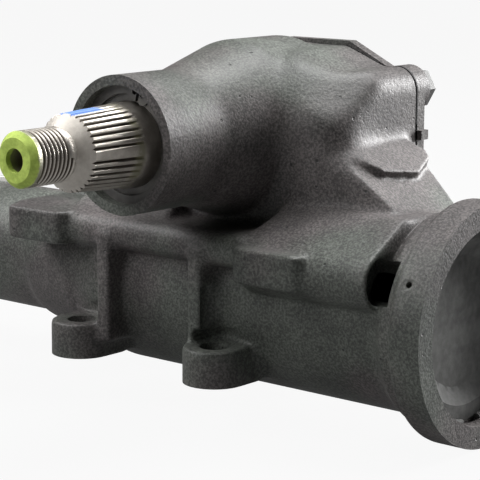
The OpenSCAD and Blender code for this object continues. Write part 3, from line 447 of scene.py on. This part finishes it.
over = over * np.clip((places[:, :1] - slope_start) / (14 * mm), 0, 1)
places -= over * np.clip((slope_end - places[:, :1]) / (8 * mm), 0, 1) * slope
flare_foot = sector_axis + Vector((42, -24, -12)) * mm
flare_reach = (34 * mm, 26 * mm, 44 * mm)
wide = np.clip(near(places, flare_foot, flare_reach) * 2, 0, 1)
for i in range(fillet_passes + wide_passes):
    normals = vertex_normals(mesh)
    rise = (drawn_in(places, ends, count) * normals).sum(1)
    places += normals * np.clip(rise, 0, None)[:, None] * 0.5 * (ease if i < fillet_passes else wide)
    mesh.vertices.foreach_set("co", places.astype(np.float32).ravel())
    mesh.update()
smoothed(places, ends, ease, round_passes)
smoothed(places, ends, lobe, lobe_passes)
mesh.vertices.foreach_set("co", places.astype(np.float32).ravel())
mesh.update()
most_triangles = 160000
thin = casting.modifiers.new("thin", "DECIMATE")
thin.ratio = min(1.0, most_triangles / (2 * len(mesh.polygons)))
baked(casting)


def noise(place, scale, detail, roughness=0.5):
    """A noise pattern over a piece, from its coordinates."""
    return place.node("ShaderNodeTexNoise", None,
                      {"Vector": place, "Scale": scale, "Detail": detail, "Roughness": roughness})


def raise_grain(shader, height, strength, distance):
    """Gives a surface relief from a pattern of heights."""
    height.node("ShaderNodeBump", None, {"Strength": strength, "Distance": distance,
                                         "Height": height}).into(shader, "Normal")


def split(place):
    """The x, y and z of a piece's coordinates."""
    parts = place.node("ShaderNodeSeparateXYZ", None, {"Vector": place})
    return [Wire(place.tree, socket) for socket in parts.socket.node.outputs]


paint_shades = (
    (0.0, (0.026, 0.026, 0.025, 1)),
    (0.5, (0.078, 0.078, 0.075, 1)),
    (1.0, (0.16, 0.16, 0.154, 1)))
warm_tint = (1.08, 0.97, 0.99, 1)
green_tint = (0.95, 1.03, 0.94, 1)
pit_colour = (0.02, 0.02, 0.02, 1)
# painted shadow colour for the gap at the cover's joint
gap_shadow_colour = (0.004, 0.004, 0.004, 1)
paint, wire, shader = new_material("satin grey paint on iron")
place = wire.node("ShaderNodeTexCoord", output="Object")
clouds = noise(place, 38.0, 4.0)
drift = noise(place, 17.0, 2.0)
grain = noise(place, 1000.0, 2.0, 0.6)
lumps = noise(place, 320.0, 2.0)
pit_cells = wire.node("ShaderNodeTexVoronoi", None, {"Vector": place, "Scale": 150.0})
pits = (1 - pit_cells.between(0.06, 0.13)) * lumps.between(0.48, 0.56)
tone = clouds.between(0.3, 0.7) * 0.35 + grain.between(0.32, 0.68) * 0.65
colour = wire.node("ShaderNodeValToRGB", {"stops": paint_shades}, {"Fac": tone})
tinted = drift.between(0.4, 0.6).blend(warm_tint, green_tint)
colour = wire.node("ShaderNodeMix", {"data_type": "RGBA", "blend_type": "MULTIPLY"},
                   {"Factor": 1.0, "A": colour, "B": tinted}, output=2)
(pits * 0.8).blend(colour, pit_colour).into(shader, "Base Color")
(0.42 + grain * 0.14 + clouds * 0.06).into(shader, "Roughness")
raise_grain(shader, grain * 0.7 + lumps * 0.8 - pits * 1.2, 0.65, 0.35 * mm)

# Painted shadow: a black band along the cover's joint, on the flange alone, stands in for the shadow in the
# joint's gap
across, along, high = split(place)
gap_shadow_band = along.between(gasket_low.y - 1.0 * mm, gasket_low.y - 0.7 * mm)
gap_shadow_band = gap_shadow_band * (1 - along.between(gasket_high.y - 0.2 * mm, gasket_high.y - 0.1 * mm))
gap_shadow_band = gap_shadow_band * high.between(gasket_low.z + 12 * mm, gasket_low.z + 13 * mm)
gap_shadow_band = gap_shadow_band * across.between(gasket_low.x - 2 * mm, gasket_low.x - 1 * mm)
gap_shadow_band = gap_shadow_band * (1 - across.between(gasket_high.x + 0.5 * mm, gasket_high.x + 1 * mm))
gap_shadow = wire.node("ShaderNodeBsdfDiffuse", None, {"Color": gap_shadow_colour})
gap_shadow_mix = wire.node("ShaderNodeMixShader", None,
                    {0: gap_shadow_band, 1: Wire(wire.tree, shader.outputs[0]), 2: gap_shadow})
wire.tree.links.new(gap_shadow_mix.socket, wire.tree.nodes["Material Output"].inputs["Surface"])

# Machining: faces cut flat, then the bores, and threads in the two ports
reach = 0.2
cutters = []


def cutter_of(name, *parts):
    """One cutting tool of parts that stand clear of each other: rods, or blocks as two corners."""
    shape = bmesh.new()
    for part in parts:
        if isinstance(part[0], str):
            add_rod(shape, *part)
        else:
            add_block(shape, *part)
    cutters.append(as_object(name, shape))


thread_groove = bpy.data.node_groups.new("thread groove", "GeometryNodeTree")
for name in ("Radius", "Pitch", "Turns", "Depth", "Half Width"):
    thread_groove.interface.new_socket(name, in_out="INPUT", socket_type="NodeSocketFloat")
thread_groove.interface.new_socket("Material", in_out="INPUT", socket_type="NodeSocketMaterial")
thread_groove.interface.new_socket("Geometry", in_out="OUTPUT", socket_type="NodeSocketGeometry")
wire = Wire(thread_groove)
given = wire.node("NodeGroupInput").socket.node.outputs
radius, pitch, turns, depth, half_width, finish = [Wire(thread_groove, socket) for socket in given[:6]]
path = wire.node("GeometryNodeCurveSpiral", None, {
    "Resolution": 48, "Rotations": turns, "Start Radius": radius, "End Radius": radius,
    "Height": pitch * turns})
path = wire.node("GeometryNodeSetCurveNormal", {"mode": "Z_UP"}, {"Curve": path})
section = wire.node("GeometryNodeCurvePrimitiveCircle", None, {"Resolution": 4, "Radius": 1.0})
size = wire.node("ShaderNodeCombineXYZ", None, {"X": depth, "Y": half_width, "Z": 1.0})
section = wire.node("GeometryNodeTransform", None, {"Geometry": section, "Scale": size})
groove = wire.node("GeometryNodeCurveToMesh", None,
                   {"Curve": path, "Profile Curve": section, "Fill Caps": True})
groove = wire.node("GeometryNodeRealizeInstances", None, {"Geometry": groove})
groove = wire.node("GeometryNodeSetMaterial", None, {"Geometry": groove, "Material": finish})
wire.node("NodeGroupOutput", None, {"Geometry": groove})


def thread_cutter(name, start, turn, radius, pitch, length, depth, material):
    """A helical V groove of a given radius, from a place along the z axis as turned."""
    made = bpy.data.objects.new(name, bpy.data.meshes.new(name))
    scene.collection.objects.link(made)
    sweep = made.modifiers.new("helix", "NODES")
    sweep.node_group = thread_groove
    values = {"Radius": radius, "Pitch": pitch, "Turns": length / pitch, "Depth": depth,
              "Half Width": 0.47 * pitch, "Material": material}
    for socket in thread_groove.interface.items_tree:
        if socket.in_out == "INPUT":
            sweep[socket.identifier] = values[socket.name]
    baked(made)
    made.data.transform(Matrix.Translation(start) @ turn.to_4x4())
    return made


def machined(made, cutters):
    """Cuts tools out of an object one after the other, and removes the tools."""
    for cutter in cutters:
        cut = made.modifiers.new(cutter.name, "BOOLEAN")
        cut.operation = "DIFFERENCE"
        cut.solver = "MANIFOLD"
        cut.object = cutter
    baked(made)
    for cutter in cutters:
        bpy.data.objects.remove(cutter)


cutter_of("end faces", ((end_face, -reach, -reach), (end_face + reach, reach, reach)),
          ((neck_face - reach, -reach, -reach), (neck_face, reach, reach)))
cutter_of("boss face", ((-reach, boss_face - reach, -reach), (reach, boss_face, reach)))
for port in ports:
    x, y, z = port["pos_m"]
    near_corner = (x - port_boss_radius - spare, port_face, z - port_boss_radius - spare)
    far_corner = (x + port_boss_radius + spare, port_face + 2 * spare, z + port_boss_radius + spare)
    cutter_of(port["name"] + " face", (near_corner, far_corner))
cutter_of("ear faces", *[((x - ear_radius - spare, y - ear_radius - spare, -2 * spare),
                          (x + ear_radius + spare, y + ear_radius + spare, 0)) for x, y in ear_places])
cutter_of("ear holes", *[("z", -spare, 8 * spare, ear_hole, (x, y, 0), 64) for x, y in ear_places])
seat = merged_copy("side_cover_gasket")
middle = (gasket_low + gasket_high) / 2
for vert in seat.verts:
    vert.co.x = middle.x + (vert.co.x - middle.x) * 1.1
    vert.co.z = middle.z + (vert.co.z - middle.z) * 1.1
    vert.co.y = gasket_low.y + (0 if vert.co.y < middle.y else 2 * spare)
cutters.append(as_object("seat face", seat))
cutter_of("seat middle", ("y", gasket_low.y, gasket_low.y + 2 * spare, tooth_opening, sector_axis))
for name, start, end, radius in (
        ("plug bore", plug_low.x, end_face + spare, radius_of("end_plug", "x") + press_fit),
        ("wire groove", wire_low.x, wire_high.x, radius_of("end_plug_retaining_ring", "x")),
        ("piston bore", piston_stop, plug_low.x + skin, radius_of("rack_piston", "x") + running_fit),
        ("web hole", races_high.x - skin, piston_stop + skin, web_hole),
        ("valve bore", neck_face + adjuster_depth - skin, races_high.x,
         radius_of("valve_body_rings", "x") + running_fit),
        ("adjuster bore", neck_face - spare, neck_face + adjuster_depth,
         radius_of("adjuster_plug", "x") + press_fit)):
    cutter_of(name, ("x", start, end, radius, worm_axis))
for name, start, end, radius in (
        ("seal bore", boss_face - spare, shell_low.y, radius_of("seal_washer", "y") + press_fit),
        ("ring groove", snap_low.y, snap_high.y, radius_of("seal_retaining_ring", "y") + press_fit),
        ("bearing bore", shell_low.y - spare, shell_high.y,
         radius_of("sector_bearing_shell", "y") + press_fit),
        ("shaft hole", shell_high.y - skin, opening_front + skin, shaft_hole),
        ("hub opening", opening_front, gasket_low.y + skin, hub_opening)):
    cutter_of(name, ("y", start, end, radius, sector_axis))
tooth_space = bmesh.new()
add_rod(tooth_space, "y", opening_front, gasket_low.y + skin, tooth_opening, sector_axis)
whole_rod = tooth_space.verts[:] + tooth_space.edges[:] + tooth_space.faces[:]
bmesh.ops.bisect_plane(tooth_space, geom=whole_rod, plane_co=(0, 0, sector_axis.z - opening_step),
                       plane_no=(0, 0, 1), clear_outer=True)
bmesh.ops.holes_fill(tooth_space, edges=[e for e in tooth_space.edges if e.is_boundary])
cutters.append(as_object("tooth opening", tooth_space))
cutter_of("cover bolt holes", *[
    ("y", gasket_low.y - cover_bolt_depth, gasket_low.y + spare, cover_bolt_hole, (x, 0, z), 48)
    for x, z in cover_bolt_places])
punch = bmesh.new()
add_punch_pin(punch, punch_radius, 20 * mm, 5 * mm)
cutters.append(as_object("punch hole", punch))
cutter_of("ridge pocket", ("x", pocket_start, pocket_start + 3 * spare, pocket_radius, pocket_centre))
port_seat_step = 1.5 * mm
port_passage = 4 * mm
port_pitch = 1.5 * mm
port_thread_depth = 0.8 * mm
for port in ports:
    name = port["name"]
    bore = port["dims"]["r_mm"] * mm
    length = port["dims"]["length_mm"] * mm
    centre = port["pos_m"]
    cutter_of(name + " bore", ("y", port_face - length, port_face + spare, bore, centre, 64))
    cutter_of(name + " seat",
              ("y", port_face - length - spare, port_face, bore - port_seat_step, centre, 64))
    cutter_of(name + " passage", ("y", worm_axis.y, port_face, port_passage, centre, 48))
    start = Vector((centre[0], port_face + 1 * mm, centre[2]))
    cutters.append(thread_cutter(name + " thread", start, Matrix.Rotation(math.radians(90), 3, "X"),
                                 bore - 0.1 * mm, port_pitch, length - 2 * mm, port_thread_depth, paint))
machined(casting, cutters)


def shaded(made, angle):
    """Smooth shading that breaks at an angle in degrees and follows the larger faces."""
    made.data.shade_smooth()
    made.data.set_sharp_from_angle(angle=math.radians(angle))
    weigh = made.modifiers.new("shading", "WEIGHTED_NORMAL")
    weigh.keep_sharp = True
    return baked(made)


casting_break = 38
shaded(casting, casting_break)


def dress(made, node, material, body):
    """Gives a finished piece its material and its body, and hides the CAD node it stands for."""
    made.data.materials.clear()
    made.data.materials.append(material)
    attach(made, body)
    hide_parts(node)


dress(casting, "gear_housing", paint, "housing")

# Side cover
# Cast cover with a blind dome over the shaft's end, painted with the housing, on a black paper gasket.
# Four flange bolts hold it; the lash screw in its middle is locked by a nut.
flat_angle = math.radians(0.4)
edge_angle = math.radians(40)
copy_break = 35


def finished_copy(node, bevel):
    """A copy of a CAD node with its flat faces joined and its sharp edges broken."""
    shape = merged_copy(node)
    bmesh.ops.dissolve_limit(shape, angle_limit=flat_angle, verts=shape.verts, edges=shape.edges)
    made = as_object(node + "_finished", shape)
    edge = made.modifiers.new("edges", "BEVEL")
    edge.width = bevel
    edge.segments = 2
    edge.limit_method = "ANGLE"
    edge.angle_limit = edge_angle
    baked(made)
    return shaded(made, copy_break)


def fit_piece(node, bevel, material, body):
    """Puts a finished copy of a CAD node in its place."""
    dress(finished_copy(node, bevel), node, material, body)


def coat(node, material):
    """Gives a CAD node that is kept as it is a finished material."""
    cad_mesh = frame["nodes"][node].data
    cad_mesh.materials.clear()
    cad_mesh.materials.append(material)


def metal(name, dark, light, rough, metallic=1.0):
    """Bare or thinly painted metal with stains and handling marks."""
    material, wire, shader = new_material(name)
    place = wire.node("ShaderNodeTexCoord", output="Object")
    marks = noise(place, 300.0, 3.0)
    stains = noise(place, 120.0, 5.0, 0.65)
    fine = noise(place, 1600.0, 2.0)
    tone = stains.between(0.3, 0.7) * 0.55 + marks.between(0.3, 0.7) * 0.3 + fine * 0.15
    tone.blend(dark, light).into(shader, "Base Color")
    (rough + stains * 0.14 + marks * 0.08).into(shader, "Roughness")
    shader.inputs["Metallic"].default_value = metallic
    raise_grain(shader, marks + fine * 0.5, 0.2, 0.05 * mm)
    return material


def soft_stuff(name, dark, light, rough, scale):
    """Rubber, paper or plastic: an even colour with dust and a fine uneven skin."""
    material, wire, shader = new_material(name)
    place = wire.node("ShaderNodeTexCoord", output="Object")
    dust = noise(place, 90.0, 5.0, 0.6)
    fibre = noise(place, scale, 2.0)
    (dust.between(0.35, 0.75) * 0.7 + fibre * 0.3).blend(dark, light).into(shader, "Base Color")
    (rough + dust * 0.15).into(shader, "Roughness")
    raise_grain(shader, fibre, 0.25, 0.05 * mm)
    return material


gasket_black = soft_stuff("black gasket", (0.006, 0.006, 0.006, 1), (0.016, 0.016, 0.016, 1), 0.7, 1500.0)
bolt_steel = metal("dull bolt steel", (0.075, 0.075, 0.073, 1), (0.13, 0.13, 0.127, 1), 0.46, 0.1)
plain_steel = metal("plain steel", (0.25, 0.245, 0.235, 1), (0.4, 0.39, 0.375, 1), 0.4)
bronze = metal("bearing bronze", (0.36, 0.22, 0.1, 1), (0.55, 0.36, 0.17, 1), 0.34)
fit_piece("side_cover", 0.9 * mm, paint, "housing")
fit_piece("side_cover_bolts", 0.5 * mm, bolt_steel, "housing")
fit_piece("lash_adjuster_nut", 0.6 * mm, plain_steel, "housing")
fit_piece("lash_adjuster_screw", 0.4 * mm, plain_steel, "housing")
coat("side_cover_gasket", gasket_black)
coat("side_cover_bushing", bronze)

# Output boss
# Needle bearing and two lip seals pressed into the boss round the sector shaft, behind a steel washer
# and an internal snap ring of blackened spring steel, whose gap shows at the top of the bore.
rubber = soft_stuff("seal rubber", (0.014, 0.014, 0.015, 1), (0.04, 0.04, 0.04, 1), 0.5, 900.0)
black_steel = metal("blackened spring steel", (0.09, 0.088, 0.085, 1), (0.17, 0.165, 0.16, 1), 0.36, 0.5)
ground_steel = metal("ground steel", (0.36, 0.355, 0.345, 1), (0.52, 0.51, 0.495, 1), 0.28)
fit_piece("seal_retaining_ring", 0.25 * mm, black_steel, "housing")
fit_piece("seal_washer", 0.2 * mm, black_steel, "housing")
fit_piece("outer_shaft_seal", 0.4 * mm, rubber, "housing")
coat("inner_shaft_seal", rubber)
coat("seal_backup_washer", plain_steel)
coat("sector_bearing_shell", ground_steel)
coat("sector_bearing_rollers", ground_steel)

# Sector shaft
# Forged and hardened steel with the toothed sector inside; outside it has tapered serrations with four
# blind teeth and a bare thread. Yellow-green inspection paint is dabbed on the tip round the centre hole.
shaft_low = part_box("sector_shaft")[0]
thread_radius = 11.1 * mm
thread_pitch = 2.1 * mm
thread_length = 15 * mm
thread_depth = 1.35 * mm
thread_lead = 5 * mm
neck_end = 21 * mm
serration_tip = (17.05 * mm, 15.35 * mm)
serration_length = 33 * mm
shoulder = boss_face - serration_length
shoulder_foot = 10.1 * mm
shoulder_length = 4.4 * mm
tip_face_radius = 8.7 * mm
tip_length = 2.5 * mm
worn_steel = (0.38, 0.345, 0.305, 1)
bright_steel = (0.74, 0.7, 0.64, 1)
soot_colour = (0.075, 0.06, 0.045, 1)
overspray = (0.24, 0.23, 0.13, 1)
stripe_blue = (0.13, 0.3, 0.75, 1)
film_colour = (0.27, 0.3, 0.12, 1)
dab_shade = (0.3, 0.42, 0.06, 1)
dab_bright = (0.6, 0.76, 0.16, 1)
output_steel, wire, shader = new_material("machined output steel")
place = wire.node("ShaderNodeTexCoord", output="Object")
across, along, high = split(place)
off_x = across - sector_axis.x
off_z = high - sector_axis.z
from_axis = (off_x * off_x + off_z * off_z) ** 0.5
from_tip = along - shaft_low.y
out = (boss_face - along) / serration_length
serrated = (along - shoulder - shoulder_length).between(-0.2 * mm, 0.2 * mm)
threaded = 1 - from_tip.between(neck_end - 0.2 * mm, neck_end + 0.2 * mm)
turned = (1 - serrated) * (1 - threaded)
tip_radius = serration_tip[0] - out * (serration_tip[0] - serration_tip[1])
groove = serrated * (tip_radius - from_axis) + threaded * (thread_radius - from_axis)
rings = wire.node("ShaderNodeTexNoise", {"noise_dimensions": "1D"}, {"W": along * 2600.0, "Detail": 3.0})
stains = noise(place, 150.0, 5.0, 0.65)
fine = noise(place, 1300.0, 2.0)

# Bright on the crests, sooty in the grooves, with overspray by the boss
worn = rings.between(0.3, 0.7) * 0.35 + stains.between(0.3, 0.7) * 0.45 + fine * 0.2
soot = groove.between(0.1 * mm, 0.6 * mm) * (0.75 + stains * 0.4)
steel_colour = soot.blend(worn.blend(worn_steel, bright_steel), soot_colour)
sprayed = out.between(0.02, 0.1) * (1 - out.between(0.16, 0.26)) * stains.between(0.42, 0.58)
steel_colour = (sprayed * 0.7).blend(steel_colour, overspray)

# A blue stripe along the top serrations, and the dab on the tip with a thin film behind it
stripe = (off_z / from_axis).between(0.95, 0.975) * out.between(0.32, 0.42)
stripe = stripe * serrated * stains.between(0.33, 0.42)
steel_colour = (stripe * 0.9).blend(steel_colour, stripe_blue)
film = (1 - from_tip.between(tip_length, thread_lead + 1.5 * mm)) * 0.5
steel_colour = film.blend(steel_colour, film_colour)
dab_edge = tip_length + (stains - 0.5) * (3.0 * mm)
dab = 1 - (from_tip - dab_edge).between(-0.4 * mm, 0.4 * mm)
dab = dab * from_axis.between(2.3 * mm, 3.6 * mm)
dab_colour = (stains.between(0.35, 0.65) * 0.7 + fine * 0.3).blend(dab_shade, dab_bright)
dab.blend(steel_colour, dab_colour).into(shader, "Base Color")
painted = (dab + stripe + sprayed * 0.6 + film * 0.6).between(0, 1, False)
(1 - painted * 0.96 - soot * 0.5 - turned * 0.55).between(0, 1, False).into(shader, "Metallic")
(0.3 + rings * 0.1 + stains * 0.12 + soot * 0.25 + dab * 0.12 + turned * 0.1).into(shader, "Roughness")
raise_grain(shader, rings + fine * 0.5, 0.3, 0.07 * mm)


def turning_cutter(name, profile):
    """A ring that turns down a shaft: a profile of y places and radii, spun round the sector axis."""
    shape = bmesh.new()
    corners = [shape.verts.new((sector_axis.x + radius, y, sector_axis.z)) for y, radius in profile]
    edges = [shape.edges.new((corner, corners[i - 1])) for i, corner in enumerate(corners)]
    bmesh.ops.spin(shape, geom=corners + edges, cent=sector_axis, axis=(0, 1, 0),
                   angle=2 * math.pi, steps=240)
    bmesh.ops.remove_doubles(shape, verts=shape.verts, dist=skin / 10)
    return as_object(name, shape)


shaft = as_object("sector_shaft_finished", merged_copy("sector_shaft"))
tip_slope = (thread_radius - tip_face_radius) / tip_length
shoulder_slope = (serration_tip[1] - shoulder_foot) / shoulder_length
tip_cut = turning_cutter("tip chamfer", (
    (shaft_low.y - 1 * mm, tip_face_radius - tip_slope * mm),
    (shaft_low.y + tip_length + 1 * mm, thread_radius + tip_slope * mm),
    (shaft_low.y - 1 * mm, thread_radius + 3 * mm)))
shoulder_cut = turning_cutter("shoulder cone", (
    (shoulder - skin, shoulder_foot),
    (shoulder + shoulder_length + 1.5 * mm, serration_tip[1] + shoulder_slope * 1.5 * mm),
    (shoulder - skin, serration_tip[0] + 4 * mm)))
thread_start = Vector((sector_axis.x, shaft_low.y + thread_lead + thread_length, sector_axis.z))
thread_cut = thread_cutter("output thread", thread_start, Matrix.Rotation(math.radians(90), 3, "X"),
                           thread_radius + 0.1 * mm, thread_pitch, thread_length, thread_depth,
                           output_steel)
machined(shaft, [tip_cut, shoulder_cut, thread_cut])
shaft_break = 24
shaft.data.shade_smooth()
shaft.data.set_sharp_from_angle(angle=math.radians(shaft_break))
for face in shaft.data.polygons:
    on_cone = shoulder < face.center.y < shoulder + shoulder_length + 1 * mm
    on_tip = face.center.y < shaft_low.y + tip_length
    face.use_smooth = not (face.normal.y < -0.5 and (on_cone or on_tip))
dress(shaft, "sector_shaft", output_steel, "sector")
coat("lash_adjuster_shim", plain_steel)

# End plug
# Turned plug that closes the barrel on an O-ring, painted over with the housing and held by a round wire
# ring sprung into a groove of the end ring.
# The plug and its wire ring take a lighter copy of the housing's grey: painted light, standing in for light that
# the end recess does not get.
lightened_plug_paint = metal("sprayed plug", (0.055, 0.055, 0.053, 1), (0.155, 0.155, 0.15, 1), 0.68, 0.0)
plug_break = 15
plug = shaded(as_object("end_plug_finished", merged_copy("end_plug")), plug_break)
dress(plug, "end_plug", lightened_plug_paint, "housing")
coat("end_plug_retaining_ring", lightened_plug_paint)
coat("end_plug_seal", rubber)

# Rack piston
# Hardened steel piston with the rack milled across its top, sealed by a plastic ring; its bore is the
# ball nut, fed by a pressed guide that a strap and two screws hold.
ring_plastic = soft_stuff("ring plastic", (0.5, 0.46, 0.36, 1), (0.62, 0.58, 0.48, 1), 0.4, 700.0)
for node in ("rack_piston", "track_balls"):
    coat(node, ground_steel)
for node in ("piston_end_plug", "ball_return_guide", "ball_guide_clamp", "ball_guide_screws"):
    coat(node, plain_steel)
coat("piston_ring", ring_plastic)
coat("piston_ring_backup", rubber)

# Worm and valve
# Ground worm with its flange, the pinned valve body round the spool, and the input stub with its splines,
# joined to the worm by a torsion bar.
for node in ("worm", "valve_body", "valve_spool", "torsion_bar"):
    coat(node, ground_steel)
for node in ("valve_drive_pin", "torsion_bar_pin"):
    coat(node, plain_steel)
coat("valve_body_rings", ring_plastic)
fit_piece("stub_shaft", 0.2 * mm, ground_steel, "stub")

# Valve end
# Threaded adjuster plug and its slotted ring nut, both zinc-grey steel, with the stub's bearing and seals
# inside; brass cone seats sit at the bottom of the two oil ports.
brass = metal("port seat brass", (0.52, 0.36, 0.13, 1), (0.72, 0.53, 0.22, 1), 0.28)
fit_piece("adjuster_plug", 0.5 * mm, plain_steel, "housing")
fit_piece("adjuster_locknut", 0.6 * mm, plain_steel, "housing")
for node in ("stub_bearing", "upper_thrust_races", "upper_thrust_rollers", "lower_thrust_races",
             "lower_thrust_rollers"):
    coat(node, ground_steel)
for node in ("adjuster_plug_seal", "stub_seal", "stub_dust_seal"):
    coat(node, rubber)
coat("port_seats", brass)
